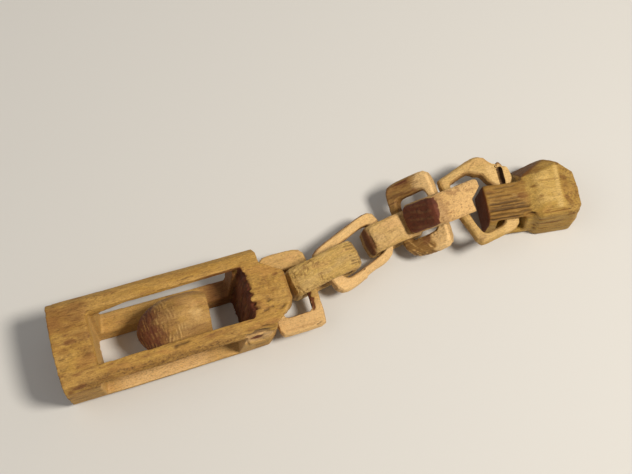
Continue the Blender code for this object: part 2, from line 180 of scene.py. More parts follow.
class Surface:
    """A piece's fine surface in its own millimetres, while it is carved and stained."""

    def __init__(self, name, fineness, softness):
        self.name = name
        self.mesh = fine_copy(name, fineness, softness)
        count = len(self.mesh.vertices)
        flat = np.empty(count * 3)
        self.mesh.vertices.foreach_get("co", flat)
        self.points = flat.reshape(-1, 3).copy()
        self.rest = self.points.copy()
        normals = np.empty(count * 3)
        self.mesh.vertex_normals.foreach_get("vector", normals)
        self.facing = normals.reshape(-1, 3)
        self.height = np.zeros(count)
        self.stains = {kind: np.zeros(count) for kind in STAINS}

    def stretched(self, along, across, up=None):
        """The surface's points, measured in units of these lengths."""
        return self.rest / np.array((along, across, across if up is None else up))

    def stain(self, kind, share):
        self.stains[kind] = np.maximum(self.stains[kind], share)

    def spot(self, middle, reach, ragged=0.25):
        """1 at the middle of an oval spot with an uneven rim and 0 outside it."""
        away = np.linalg.norm((self.rest - np.array(middle)) / np.array(reach), axis=1)
        away = away + ragged * uneven(self.stretched(2.6, 1.4), int(abs(middle[0]) * 7) + 3)
        return 1 - ramp(away, 0.3, 1.0)

    def facets(self, along, across, depth, seed, keep=1.0):
        """Shallow scoops with crisp low ridges between them, as a knife leaves."""
        middle = patches(self.stretched(along, across), seed)[0]
        self.height -= depth * keep * (1 - np.clip(middle, 0, 1) ** 2)

    def grain(self, depth, seed, across=1.5, along=16.0):
        """Low ridges along the grain."""
        self.height += depth * rough(self.stretched(along, across), seed, 2)

    def pits(self, size, depth, seed, keep):
        """Small round pits over part of the surface."""
        middle = patches(self.stretched(size * 1.3, size), seed)[0]
        pit = (1 - ramp(middle, 0.2, 0.5)) * keep
        self.height -= depth * pit
        return pit

    def groove(self, start, end, width, depth, dark=0.8, wander=0.0, seed=1, keep=None):
        """A narrow cut or crack along a line."""
        points = self.rest
        if wander:
            bend = uneven(self.stretched(2.5, 2.5), seed) * wander
            points = points + np.stack([bend * 0.3, bend, bend], axis=1)
        away, share = along_line(points, start, end)
        ends = ramp(share, 0.0, 0.15) * (1 - ramp(share, 0.85, 1.0))
        cut = (1 - ramp(away, 0.15 * width, width)) * (0.3 + 0.7 * ends)
        if keep is not None:
            cut = cut * keep
        self.height -= depth * cut
        self.stain("hollow", dark * cut)

    def finish(self, low, high):
        """Moves the surface, puts it in its place in metres and writes its stains."""
        height = np.minimum(self.height, LIFT_LIMIT)
        moved = self.points + self.facing * height[:, None]
        lie = np.array(lie_matrix(self.name))
        placed = moved @ lie[:3, :3].T + lie[:3, 3]
        placed = np.clip(placed, low, high)
        self.mesh.vertices.foreach_set("co", placed.ravel())
        self.mesh.update()
        for kind, share in self.stains.items():
            layer = self.mesh.attributes.new(kind, "FLOAT", "POINT")
            layer.data.foreach_set("value", np.clip(share, 0, 1).astype(np.float32))
        piece = bpy.data.objects.new(self.name + "_wood", self.mesh)
        bpy.context.scene.collection.objects.link(piece)
        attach(piece, "root")
        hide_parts(self.name)
        return piece


def fine_copy(name, fineness, softness):
    """A copy of the solid with small even faces and rounded edges, in the piece's own millimetres."""
    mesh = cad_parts[name].data.copy()
    bm = bmesh.new()
    bm.from_mesh(mesh)
    bmesh.ops.remove_doubles(bm, verts=bm.verts, dist=SAME_CORNER)
    bm.transform(lie_matrix(name).inverted())
    for face in bm.faces:
        face.smooth = True
    bm.to_mesh(mesh)
    bm.free()
    mesh.materials.clear()
    holder = bpy.data.objects.new(name + "_fine", mesh)
    bpy.context.scene.collection.objects.link(holder)
    grid = holder.modifiers.new("even faces", "REMESH")
    grid.mode = "VOXEL"
    grid.voxel_size = fineness
    grid.adaptivity = 0.0
    grid.use_smooth_shade = True
    soften = holder.modifiers.new("soft edges", "SMOOTH")
    soften.factor = 0.5
    soften.iterations = softness
    depsgraph = bpy.context.evaluated_depsgraph_get()
    made = bpy.data.meshes.new_from_object(holder.evaluated_get(depsgraph))
    bpy.data.objects.remove(holder, do_unlink=True)
    bpy.data.meshes.remove(mesh)
    made.name = name + "_wood"
    return made


# The cage

# The size of the cage's small even faces, in millimetres
CAGE_FINENESS = 0.48

# Where the cage's upright window and the window across it begin and end, in the cage's own millimetres.
# The upright window's walls lean in by their rake from the top down.
WINDOW_START = 16.2
WINDOW_END = 83.5
WINDOW_END_RAKE = 6.5
WINDOW_FAR = 10.0
WINDOW_FAR_RAKE = 2.8
WINDOW_NEAR = -13.7
WINDOW_NEAR_RAKE = 3.1
SIDE_START = 14.0
SIDE_END = 81.0
SIDE_LOW = 7.0
SIDE_HIGH = 26.0
CAGE_TOP = 31.0

# How far apart the knife's chatter marks on the tongue are
CHATTER_STEP = 2.1

# Where slits run along the cage's top: start, end, width and depth
CAGE_SLITS = (
    ((47.4, -16.1, 30.7), (54.8, -15.5, 30.7), 0.85, 0.7),
    ((90.2, -8.1, 31.0), (93.0, -7.5, 31.0), 0.95, 0.9),
    ((94.4, -12.4, 30.5), (97.4, -11.7, 30.4), 0.9, 0.9),
    ((87.6, -12.3, 30.9), (90.2, -11.8, 30.9), 0.85, 0.7),
    ((84.6, -10.4, 31.0), (87.2, -9.9, 31.0), 0.7, 0.5),
    ((91.4, -11.0, 31.0), (92.8, -10.7, 31.0), 0.6, 0.4),
    ((56.0, 12.3, 31.0), (63.0, 12.8, 31.0), 0.45, 0.25),
    ((28.0, 15.3, 30.4), (33.0, 15.6, 30.4), 0.45, 0.25),
    ((0.3, -7.4, 31.0), (3.4, -7.2, 31.0), 0.6, 0.35),
    ((7.0, -12.4, 31.0), (10.4, -12.2, 31.0), 0.6, 0.35),
    ((2.0, 5.5, 31.0), (8.5, 5.8, 31.0), 0.4, 0.2),
)
# Stained places on the cage: middle, reach, brown and rust
CAGE_STAINS = (
    ((7.6, -0.8, 31.0), (4.6, 2.4, 3.0), 0.6, 0.35),
    ((6.2, 2.3, 31.0), (2.4, 1.2, 3.0), 0.5, 0.2),
    ((3.2, -4.4, 31.0), (4.5, 2.2, 3.0), 0.45, 0.1),
    ((12.0, -3.0, 31.0), (5.0, 9.0, 3.0), 0.3, 0.0),
    ((6.2, -20.3, 28.0), (5.5, 2.4, 3.0), 0.65, 0.4),
    ((1.8, -20.6, 25.4), (3.0, 2.4, 3.4), 0.6, 0.3),
    ((17.0, -20.0, 28.4), (8.0, 1.6, 2.2), 0.5, 0.2),
    ((11.0, -14.0, 31.0), (6.0, 2.0, 3.0), 0.4, 0.15),
    ((13.1, 18.3, 28.4), (5.0, 1.8, 2.4), 0.45, 0.2),
    ((27.4, 15.7, 30.3), (6.0, 1.6, 2.4), 0.4, 0.15),
    ((44.2, 11.0, 31.0), (9.0, 1.4, 2.4), 0.45, 0.1),
    ((63.0, 14.6, 31.0), (12.0, 1.6, 3.0), 0.35, 0.0),
    ((67.2, -15.9, 30.8), (9.0, 1.7, 2.4), 0.5, 0.15),
    ((38.0, -16.4, 30.7), (14.0, 1.4, 2.2), 0.35, 0.0),
    ((91.6, 0.9, 31.0), (5.0, 4.6, 3.0), 0.4, 0.15),
    ((96.9, 3.0, 30.6), (2.0, 1.3, 2.0), 0.6, 0.0),
    ((85.8, -7.8, 31.0), (3.2, 2.6, 2.0), 0.5, 0.2),
    ((88.0, 10.0, 31.0), (8.0, 3.0, 3.0), 0.25, 0.0),
)


def inside_window(y, z):
    """1 between the upright window's two long walls."""
    far_wall = WINDOW_FAR - WINDOW_FAR_RAKE * (1 - z / CAGE_TOP)
    near_wall = WINDOW_NEAR + WINDOW_NEAR_RAKE * (1 - z / CAGE_TOP)
    return ramp(y, near_wall - 0.9, near_wall - 0.3) * (1 - ramp(y, far_wall + 0.3, far_wall + 0.9))


def outer_share(x, y, z):
    """1 on the cage's outer faces and 0 on the walls of its windows."""
    upright = ramp(x, WINDOW_START - 0.9, WINDOW_START - 0.3) * inside_window(y, z)
    upright *= 1 - ramp(x, WINDOW_END + 0.3, WINDOW_END + 0.9)
    across = within(x, SIDE_START, SIDE_END, 0.4) * within(z, SIDE_LOW - 0.6, SIDE_HIGH + 0.6, 0.3)
    return 1 - np.maximum(upright, across)


def carve_cage():
    wood = Surface("cage", CAGE_FINENESS, 4)
    x, y, z = wood.rest.T
    outside = outer_share(x, y, z)
    top = ramp(z, 28.5, 29.8)
    wood.facets(26.0, 6.5, 0.2, 11, keep=0.4 + 0.6 * (1 - outside))
    wood.grain(0.11, 21, across=2.2, along=30.0)
    wood.grain(0.07, 22, across=1.1, along=7.0)
    wood.height += 0.16 * uneven(wood.stretched(22.0, 7.0), 23)
    wear_cage(wood, outside)
    for start, end, width, depth in CAGE_SLITS:
        wood.groove(start, end, width, depth, dark=0.74, wander=0.5, seed=int(start[0]), keep=top)
    tear_corner(wood)
    break_window_end(wood)
    wood.groove((16.0, 4.6, 7.0), (16.2, 3.4, 0.0), 0.9, 1.2, dark=1.0, wander=0.6, seed=8)
    wood.groove((16.2, 3.6, 7.0), (17.4, 3.0, 5.0), 0.7, 0.8, dark=0.8, wander=0.3, seed=9)

    # Chatter marks on the tongue and its worn tip
    tongue_end = ramp(x, 98.0, 100.5)
    wood.stain("brown", 0.4 * tongue_end)
    wood.stain("pale", 0.7 * wood.spot((98.5, -14.5, 28.0), (3.0, 2.6, 4.0)))
    chatter = within(x, 91.5, 99.5, 0.8) * top * ramp(y, -12.0, -8.0)
    steps = np.sin(x * 2 * math.pi / CHATTER_STEP + uneven(wood.stretched(4, 4), 63))
    wood.height -= 0.13 * chatter * (0.5 + 0.5 * steps)
    return wood


def wear_cage(wood, outside):
    """Weathering, handling stains and the pitted band along the near upper bar, with painted shade on the
    far wall and the far bar's lower rim, and painted light on the near side window's end wall.
    """
    x, y, z = wood.rest.T
    band = ramp(-y, 17.2, 18.8) * within(z, 23.6, 30.2, 0.8) * ramp(x, 1.0, 10.0)
    band *= 1 - ramp(x, 68.0, 82.0)
    band *= ramp(rough(wood.stretched(8.0, 2.0), 30, 2), -1.1, -0.3)
    for size, seed in ((0.8, 31), (1.0, 36)):
        pit = wood.pits(size, 0.17, seed, band)
        wood.stain("hollow", 0.34 * pit)
    wood.stain("speck", 0.8 * band)
    wood.stain("brown", 0.4 * band)
    near_top = ramp(-y, 11.0, 14.0) * ramp(z, 29.0, 30.2)
    wood.stain("brown", 0.3 * near_top * ramp(rough(wood.stretched(9.0, 2.6), 37, 3), -0.7, 0.4))
    # Painted light: the near side window's end wall, which faces away from the lamp, is lifted with a
    # pale stain.
    side_end_painted_light = within(x, 73.0, 82.0, 0.8) * (1 - outside) * (1 - ramp(y, -10.0, -8.0))
    side_end_painted_light *= ramp(z, 6.5, 8.5)
    wood.stain("pale", 0.8 * side_end_painted_light * ramp(-wood.facing[:, 0], 0.3, 0.7))
    sparse = outside * ramp(rough(wood.stretched(12.0, 7.0), 33, 2), 0.1, 0.9)
    pit = wood.pits(1.1, 0.16, 34, sparse)
    wood.stain("hollow", 0.4 * pit)

    # Fresh cuts inside the windows are a little paler, and palest on the lower near ledge
    wood.stain("pale", 0.2 * (1 - outside) * (1 - ramp(z, 22.0, 26.0)))
    ledge = within(z, 5.5, 8.5, 0.6) * (1 - ramp(y, -12.5, -11.0)) * ramp(wood.facing[:, 2], 0.3, 0.7)
    peach = within(x + 1.5 * uneven(wood.stretched(6.0, 2.0), 35), 21.0, 60.0, 4.0)
    wood.stain("pale", ledge * (0.45 + 0.55 * peach))
    start_wall = within(x, WINDOW_START - 2.0, WINDOW_START + 0.8, 0.4) * (1 - outside)
    wood.stain("pale", 0.3 * start_wall * (1 - ramp(z, 26.0, 30.0)))
    start_rim = np.hypot(x - WINDOW_START, z - CAGE_TOP)
    wood.height -= 0.5 * (1 - ramp(start_rim, 0.4, 2.6)) * inside_window(y, z)
    wood.stain("brown", 0.4 * (1 - ramp(start_rim, 0.6, 2.0)) * inside_window(y, z))
    # Painted shadow: the far wall towards the window's end is browned and reddened where the end wall
    # shades it.
    far_wall_painted_shadow = ramp(x, 58.0, 72.0) * (1 - outside) * ramp(y, 2.0, 6.0)
    wood.stain("brown", 0.62 * far_wall_painted_shadow)
    wood.stain("rust", 0.42 * far_wall_painted_shadow)

    for middle, reach, brown, rust in CAGE_STAINS:
        place = wood.spot(middle, reach)
        wood.stain("brown", brown * place)
        wood.stain("rust", rust * place)
    streaks = ramp(rough(wood.stretched(7.0, 1.1), 61, 3), 0.1, 0.9)
    near_side = 1 - ramp(y, -16.0, 4.0)
    left = 1 - ramp(x, 6.0, 40.0)
    wood.stain("brown", (0.3 + 0.16 * near_side + 0.12 * left) * streaks * outside)
    blotches = ramp(rough(wood.stretched(13.0, 6.0), 64, 3), 0.0, 1.0)
    wood.stain("brown", (0.3 + 0.25 * left) * blotches * outside)
    end_grain = ramp(-wood.facing[:, 0], 0.7, 0.95) * (1 - ramp(x, 4.0, 8.0))
    wood.stain("brown", 0.7 * end_grain)
    wood.height -= 0.24 * end_grain * ramp(rough(wood.stretched(2.0, 1.2), 62, 3), -0.2, 0.8)
    beside_window = within(x, WINDOW_START, WINDOW_END, 1.5)
    far_rim = (1 - ramp(np.hypot(y - WINDOW_FAR, z - CAGE_TOP), 0.3, 3.6)) * beside_window
    near_rim = (1 - ramp(np.hypot(y - WINDOW_NEAR, z - CAGE_TOP), 0.5, 1.6)) * beside_window
    worn = ramp(rough(wood.stretched(3.2, 2.0), 66, 2), 0.0, 0.8)
    wood.height -= far_rim * (0.4 + 0.25 * worn) + 0.36 * near_rim * worn
    # Painted shade: a brown band along the far bar's lower inner edge, above the side window, with fine
    # dark specks on it.
    lower_rim_painted_shade = within(z, SIDE_HIGH - 0.6, SIDE_HIGH + 2.6, 0.6) * within(y, 6.0, 11.0, 0.6)
    lower_rim_painted_shade *= beside_window
    wood.stain("brown", 0.5 * lower_rim_painted_shade * ramp(rough(wood.stretched(4.0, 1.0), 67, 3), -0.5, 0.5))
    wood.stain("speck", 0.7 * lower_rim_painted_shade)


def tear_corner(wood):
    """A knot tore out of the near corner where the tongue begins, and cracks run back from it."""
    y, z = wood.rest[:, 1], wood.rest[:, 2]
    near_corner = ramp(-y, 15.5, 17.0)
    for start, end, seed in (
        ((64.0, -18.0, 31.0), (90.5, -19.0, 29.8), 5),
        ((70.0, -20.0, 29.2), (89.5, -20.2, 28.4), 6),
        ((60.0, -17.0, 31.0), (80.0, -17.4, 31.0), 7),
    ):
        wood.groove(start, end, 1.1, 0.8, dark=0.85, wander=0.7, seed=seed, keep=near_corner)
    torn = wood.spot((83.8, -20.4, 22.8), (9.6, 4.4, 8.4), ragged=0.15) * ramp(-y, 15.6, 17.0)
    torn = ramp(torn, 0.08, 0.5)
    fibres = rough(wood.stretched(4.2, 0.9), 41, 3)
    wood.height -= torn * (0.9 + 0.5 * fibres + 0.7 * ramp(z, 25.5, 27.5))
    wood.stain("pale", torn * (0.75 + 0.25 * ramp(fibres, -0.4, 0.4)))
    # Painted shadow: a dark band along the torn recess's upper edge, under its lip.
    wood.stain("hollow", 0.8 * torn * within(z, 26.4, 28.6, 0.5))
    wood.stain("brown", 0.5 * torn * ramp(fibres, 0.0, 0.7))
    knot = wood.spot((82.4, -20.2, 21.8), (4.6, 3.4, 3.0), ragged=0.25)
    wood.height -= 0.6 * knot
    wood.stain("rust", 0.75 * knot)
    wood.stain("brown", 0.95 * knot)
    wood.groove((77.8, -20.0, 24.0), (78.6, -20.0, 14.6), 0.6, 0.5, dark=0.8, wander=0.3, seed=42)


def break_window_end(wood):
    """The window's far end was broken through rather than cut, and its upper edge is ragged. Its wall is
    browned and reddened, partly dark end grain and partly painted shade.
    """
    x, y, z = wood.rest.T
    wall_at = WINDOW_END - WINDOW_END_RAKE * (1 - z / CAGE_TOP)
    breadth = within(y, -12.0, 7.4, 1.6)
    teeth = rough(np.stack([y / 2.9, z / 6.0, x * 0], axis=1), 51, 3)
    teeth += 0.5 * rough(np.stack([y / 0.9, z / 3.0, x * 0], axis=1), 57, 2)
    ragged = np.clip(breadth * (0.8 + 1.1 * teeth), 0, 2.5)
    upper_edge = np.exp(-((x - WINDOW_END) ** 2 + (z - CAGE_TOP) ** 2) / 3.2)
    wood.points[:, 0] += ragged * upper_edge
    wood.points[:, 2] -= 0.8 * ragged * upper_edge
    wall = (1 - ramp(np.abs(x - wall_at), 1.3, 2.6)) * inside_window(y, z)
    wall *= 1 - ramp(wood.facing[:, 0], -0.4, -0.1)
    fibres = rough(np.stack([y / 0.9, z / 5.5, x * 0], axis=1), 52, 3)
    wood.height -= 0.4 * wall * ramp(fibres, -0.2, 0.8)
    # Painted shade: the end wall faces away from the light; its brown and red are partly end grain and
    # partly painted shade.
    wood.stain("brown", wall)
    wood.stain("rust", wall * (0.65 + 0.35 * ramp(z, 18.0, 29.0)))
    wood.stain("hollow", wall * 0.5 * ramp(fibres, -0.1, 0.6))
    lighter = ramp(rough(np.stack([y / 0.7, z / 4.0, x * 0], axis=1), 58, 2), 0.15, 0.7)
    wood.stains["rust"] *= 1 - 0.6 * wall * lighter
    wood.stains["brown"] *= 1 - 0.25 * wall * lighter
    rim = np.exp(-((x - WINDOW_END - 0.9) ** 2 / 1.3 + (z - CAGE_TOP) ** 2 / 3.0)) * breadth
    wood.stain("rust", 0.75 * rim * ramp(teeth, -0.5, 0.4))


# The ball

BALL_FINENESS = 0.24
# How far apart the rasp's scratches on the domed end are
RASP_STEP = 1.5


def carve_ball():
    wood = Surface("captive_ball", BALL_FINENESS, 3)
    x, y, z = wood.rest.T
    blur = uneven(wood.stretched(5.0, 4.0), 110)
    domed = 1 - ramp(x + 0.2 * y + 1.6 * blur, 1.5, 8.0)
    wood.facets(9.0, 5.0, 0.3, 111, keep=1 - 0.6 * domed)
    drift = 1.3 * uneven(wood.stretched(7.0, 6.0), 112) + 0.55 * uneven(wood.stretched(2.4, 3.6), 113)
    drift += 0.16 * uneven(wood.stretched(0.8, 1.6), 120)
    rasp = 0.5 + 0.5 * np.sin((x + 0.12 * y + drift) * 2 * math.pi / RASP_STEP)
    broken = ramp(rough(wood.stretched(1.4, 2.6), 114, 3), -0.35, 0.55)
    wood.height -= 0.15 * domed * broken * (1 - rasp)
    scratches = ramp(rough(wood.stretched(0.62, 2.8), 115, 2), -0.1, 0.7)
    wood.height -= 0.13 * domed * scratches
    wood.grain(0.05, 116, across=1.4, along=10.0)
    wood.height += 0.2 * uneven(wood.stretched(8.0, 8.0), 117)
    # The left end is reddish and browner: partly the wood's own red, partly painted shade on the side
    # away from the light.
    along = x - 0.25 * z + 0.12 * y + 2.6 * uneven(wood.stretched(4.0, 4.0), 118)
    left_redness_and_shade = 1 - ramp(along, -13.0, 0.0)
    wood.stain("rust", 0.8 * left_redness_and_shade * (1 - 0.5 * rasp * broken))
    wood.stain("brown", np.clip(0.2 + 0.5 * left_redness_and_shade, 0, 1) * domed * (0.6 + 0.4 * scratches))
    wood.stain("brown", 0.16 + 0.22 * ramp(blur, 0.1, 0.8))
    marks = np.maximum(broken * (1 - rasp) ** 2, 0.8 * scratches)
    wood.stain("hollow", 0.34 * domed * marks * ramp(-x, -6.0, 2.0))
    ribs = within(x, -8.0, 5.0, 2.5) * domed * broken * (1 - scratches)
    wood.stain("pale", 0.6 * ribs * rasp**2)
    # Painted highlight on top of the cut right end, and painted light on the upper far facet beside it.
    wood.stain("pale", 0.6 * wood.spot((10.6, -0.6, 11.0), (3.6, 4.4, 4.0)))
    wood.stain("pale", 0.3 * wood.spot((8.0, 6.0, 10.0), (6.0, 5.0, 6.0)))
    # Painted shade: the near lower facet of the right end is browned and specked.
    lower_facet_painted_shade = ramp(x, 0.0, 5.0) * ramp(-y, 5.4, 6.8)
    wood.stain("brown", 0.34 * lower_facet_painted_shade)
    wood.stain("speck", 0.3 * lower_facet_painted_shade)
    face = ramp(wood.facing[:, 0], 0.8, 0.96)
    wood.height -= 0.14 * face * ramp(rough(wood.stretched(2.0, 1.1), 119, 3), -0.2, 0.8)
    wood.stain("brown", 0.5 * face)
    return wood


# The links

# The size of the links' small even faces, in millimetres
LINK_FINENESS = 0.3


def worked_link(name, seed, facet=(9.0, 4.2, 0.26), softness=4):
    """A link's surface with the marks that all links share."""
    wood = Surface(name, LINK_FINENESS, softness)
    wood.facets(*facet, seed)
    wood.grain(0.06, seed + 3, across=1.3, along=11.0)
    wood.height += 0.18 * uneven(wood.stretched(9.0, 5.0), seed + 5)
    ends = ramp(np.abs(wood.facing[:, 0]), 0.72, 0.95)
    wood.height -= 0.12 * ends * ramp(rough(wood.stretched(1.8, 1.1), seed + 7, 3), -0.2, 0.8)
    wood.stain("brown", 0.42 * ends)
    streaks = ramp(rough(wood.stretched(8.0, 1.2), seed + 8, 3), 0.2, 0.95)
    wood.stain("brown", 0.3 * streaks)
    blotches = ramp(rough(wood.stretched(7.0, 4.0), seed + 9, 3), 0.2, 1.1)
    wood.stain("brown", 0.26 * blotches)
    fuzz = ramp(rough(wood.stretched(1.6, 0.8), seed + 13, 2), 0.1, 0.8)
    wood.height -= 0.09 * fuzz
    wood.stain("brown", 0.2 * fuzz)
    nicks = wood.pits(1.3, 0.18, seed + 11, ramp(rough(wood.stretched(6.0, 5.0), seed + 12, 2), 0.2, 0.9))
    wood.stain("hollow", 0.35 * nicks)
    return wood


def hole_dirt_and_shade(wood, darkness):
    """Browns the faces that look into the link's hole: partly dirt, partly painted shade where those
    walls lie in shadow.
    """
    x, y = wood.rest[:, 0], wood.rest[:, 1]
    away = np.maximum(np.hypot(x, y), 0.001)
    inward = -(wood.facing[:, 0] * x + wood.facing[:, 1] * y) / away
    wood.stain("brown", darkness * ramp(inward, 0.4, 0.8))


def carve_link_1():
    wood = worked_link("link_1", 201, softness=3)
    x, y, z = wood.rest.T
    hole_dirt_and_shade(wood, 0.5)
    # Painted shade: the right bar's inner face is browned and reddened, and a brown band along its inner
    # top edge stands in for the shaded undercut below it; that edge is also lowered.
    right = ramp(x, 3.2, 4.6) * (1 - ramp(x, 7.6, 8.6)) * (1 - ramp(z, 1.6, 2.4))
    right *= ramp(-wood.facing[:, 0], 0.3, 0.7)
    wood.stain("brown", right)
    wood.stain("rust", 0.7 * right)
    wood.stain("pale", 0.85 * (1 - ramp(y, -9.0, -4.0)))
    wood.stain("pale", 0.35 * ramp(y, 9.0, 12.0) * ramp(z, 1.0, 2.2))
    shade_band_x = x + 0.7 * uneven(wood.stretched(1.3, 1.3), 203) + 0.5 * uneven(wood.stretched(3.0, 3.0), 204)
    edge = ramp(shade_band_x, 4.2, 5.2) * (1 - ramp(shade_band_x, 6.4, 7.3)) * within(y, -10.5, 2.0, 1.2)
    wood.height -= 0.5 * edge * ramp(z, 1.4, 2.4)
    wood.stain("brown", edge)
    wood.stain("rust", 0.75 * edge)
    rim = 0.4 * within(y, -16.8, -15.6, 0.5) * within(x, -9.0, 6.0, 1.5)
    wood.stain("brown", rim * ramp(z, 2.0, 2.7))
    wood.groove((4.9, -17.6, 2.4), (7.6, -16.4, 2.6), 0.8, 0.5, dark=0.75)
    return wood


# Short cuts side by side over the second link's right end: place across it, and how far each runs back
LINK_2_NOTCHES = (
    (-5.4, 2.6),
    (-4.0, 3.6),
    (-2.5, 2.9),
    (-0.9, 3.9),
    (0.6, 3.0),
    (1.8, 3.5),
    (3.0, 3.0),
    (4.3, 3.8),
    (5.4, 2.6),
)


def carve_link_2():
    wood = worked_link("link_2", 221, facet=(10.0, 5.0, 0.18))
    x, y = wood.rest[:, 0], wood.rest[:, 1]
    hole_dirt_and_shade(wood, 0.6)
    wood.stain("pale", 0.3 * (1 - ramp(y, 9.0, 11.5)))
    old = (1 - ramp(x, 0.0, 5.0)) * ramp(y, 7.0, 10.0)
    warp = np.stack([rough(wood.stretched(2.2, 2.2), 223 + axis, 2) for axis in range(3)], axis=1)
    for layer, (along, across, strength) in enumerate(((2.4, 5.2, 1.0), (1.3, 2.6, 0.55))):
        edge = patches(wood.stretched(along, 4.0, across) + 0.3 * warp, 225 + 7 * layer)[1]
        kept = ramp(rough(wood.stretched(3.0, 3.0), 228 + layer, 2), -0.25, 0.3)
        fine = (1 - ramp(edge, 0.02, 0.13)) * old * kept * strength
        wood.height -= 0.26 * fine
        wood.stain("hollow", 0.22 * fine)
        wood.stain("brown", 0.5 * fine)
    wood.stain("brown", 0.2 * old * ramp(rough(wood.stretched(3.0, 2.0), 229, 2), -0.2, 0.7))
    for index, (across, reach) in enumerate(LINK_2_NOTCHES):
        brow = (14.6, 11.3, across + 0.2)
        low = (16.4, 8.8 + 0.3 * (index % 2), across + 0.4)
        back = (14.8 - reach, 12.1, across - 0.2)
        wood.groove(low, brow, 0.62, 0.5, dark=0.7)
        wood.groove(brow, back, 0.62, 0.5, dark=0.7, wander=0.15, seed=index)
    for start, end in (
        ((2.0, 9.6, 6.6), (6.5, 9.9, 6.5)),
        ((8.0, 9.0, 6.6), (12.5, 8.6, 6.5)),
        ((-9.0, 9.2, 6.5), (-5.0, 9.4, 6.5)),
    ):
        wood.groove(start, end, 0.6, 0.4, dark=0.8, wander=0.2)
    wood.stain("brown", 0.45 * ramp(x, 14.6, 16.2))
    return wood


def carve_link_3():
    wood = worked_link("link_3", 241, facet=(8.0, 4.0, 0.3), softness=3)
    x, y, z = wood.rest.T
    hole_dirt_and_shade(wood, 0.55)
    wood.stain("pale", 0.85 * (1 - ramp(y, -4.0, 1.0)))
    wood.stain("pale", 0.6 * ramp(z, 1.0, 2.4))
    # Painted shade: the far bar's outer face, turned away from the light, is browned.
    wood.stain("brown", 0.7 * ramp(wood.facing[:, 1], 0.5, 0.9) * ramp(y, 8.0, 10.0))
    wood.groove((-3.3, -8.0, 3.2), (-2.6, -9.8, 2.0), 0.9, 0.9, dark=0.8)
    # The near bar has a step cut into it; its faces that look toward the far side are browned as painted
    # shadow.
    step = ramp(x, -3.3, -2.9) * (1 - ramp(x, 2.0, 9.0)) * (1 - ramp(y, -10.2, -9.2))
    wood.height -= 0.55 * step
    wood.stain("brown", 0.5 * step * ramp(wood.facing[:, 1], 0.2, 0.6))
    return wood


def carve_link_4():
    wood = worked_link("link_4", 261, facet=(8.0, 5.0, 0.16))
    x, y, z = wood.rest.T
    hole_dirt_and_shade(wood, 0.6)
    blur = 0.5 * uneven(wood.stretched(1.6, 1.6), 262) + 0.5 * uneven(wood.stretched(3.5, 3.5), 264)
    corner = np.hypot(x + 12.1, y - 10.5)
    wood.height -= 0.75 * (1 - ramp(corner, 0.5, 3.6))
    # The left end is brown and reddish: partly dark end grain, partly painted shade on the side away from
    # the light.
    left = 1 - ramp(x + blur, -12.0, -9.0)
    left *= ramp(y, -4.0, 4.0)
    wood.stain("brown", 0.9 * left)
    wood.stain("rust", 0.4 * left)
    old = (1 - ramp(x - 0.28 * z + 2.0 * blur, -0.5, 4.5)) * (1 - left) * ramp(y, 6.0, 8.0)
    specks = wood.pits(1.15, 0.2, 263, old)
    wood.stain("hollow", 0.16 * specks)
    wood.stain("speck", 0.2 * old)
    wood.stain("pale", 0.3 * (1 - left) * ramp(y, 9.0, 10.4))
    step = (1 - ramp(x - 0.28 * z, 1.7, 2.6)) * ramp(x - 0.28 * z, -6.0, 1.7) * ramp(y, 8.0, 9.0)
    wood.height -= 0.16 * step
    wood.stain("pale", 0.75 * ramp(x - 0.28 * z, 0.0, 6.0))
    return wood


def carve_link_5():
    wood = worked_link("link_5", 281, facet=(7.0, 5.0, 0.28))
    x, y, z = wood.rest.T
    hole_dirt_and_shade(wood, 0.6)
    blur = 0.8 * uneven(wood.stretched(1.6, 1.6), 282) + 1.2 * uneven(wood.stretched(4.0, 3.0), 284)
    bright = ramp(x + blur, 1.8, 5.4)
    wood.stain("pale", bright)
    wood.stain("brown", 0.5 * (1 - bright))
    far = ramp(y, 6.0, 9.0) * (1 - ramp(x + blur, 4.0, 9.0))
    lines = ramp(rough(wood.stretched(6.0, 0.9), 285, 3), -0.2, 0.6)
    wood.stain("brown", far * (0.4 + 0.4 * lines))
    wood.stain("rust", 0.85 * wood.spot((-1.0, 16.4, 3.0), (8.0, 2.8, 3.4)) * (0.6 + 0.4 * lines))
    wood.stain("rust", 0.5 * wood.spot((3.5, 11.4, 3.0), (3.0, 2.0, 3.0)))
    near = (1 - ramp(y, -9.5, -8.0)) * (1 - ramp(x + blur, 2.5, 4.5))
    slant = np.stack([(x + 0.7 * y) / 0.55, (y - 0.7 * x) / 3.2, z / 2.0], axis=1)
    scratched = ramp(rough(slant, 283, 2), 0.15, 0.75)
    wood.height -= 0.16 * near * (1 - scratched)
    wood.stain("brown", 0.62 * near)
    wood.stains["brown"] *= 1 - 0.7 * near * scratched
    wood.stain("pale", 0.4 * near * scratched)
    wood.stain("rust", 0.6 * wood.spot((1.0, -11.4, 3.0), (3.6, 4.4, 3.0)))
    border = within(x + blur, 1.6, 3.4, 0.6) * (1 - ramp(y, -10.0, -8.0))
    wood.stain("brown", 0.4 * border)
    return wood


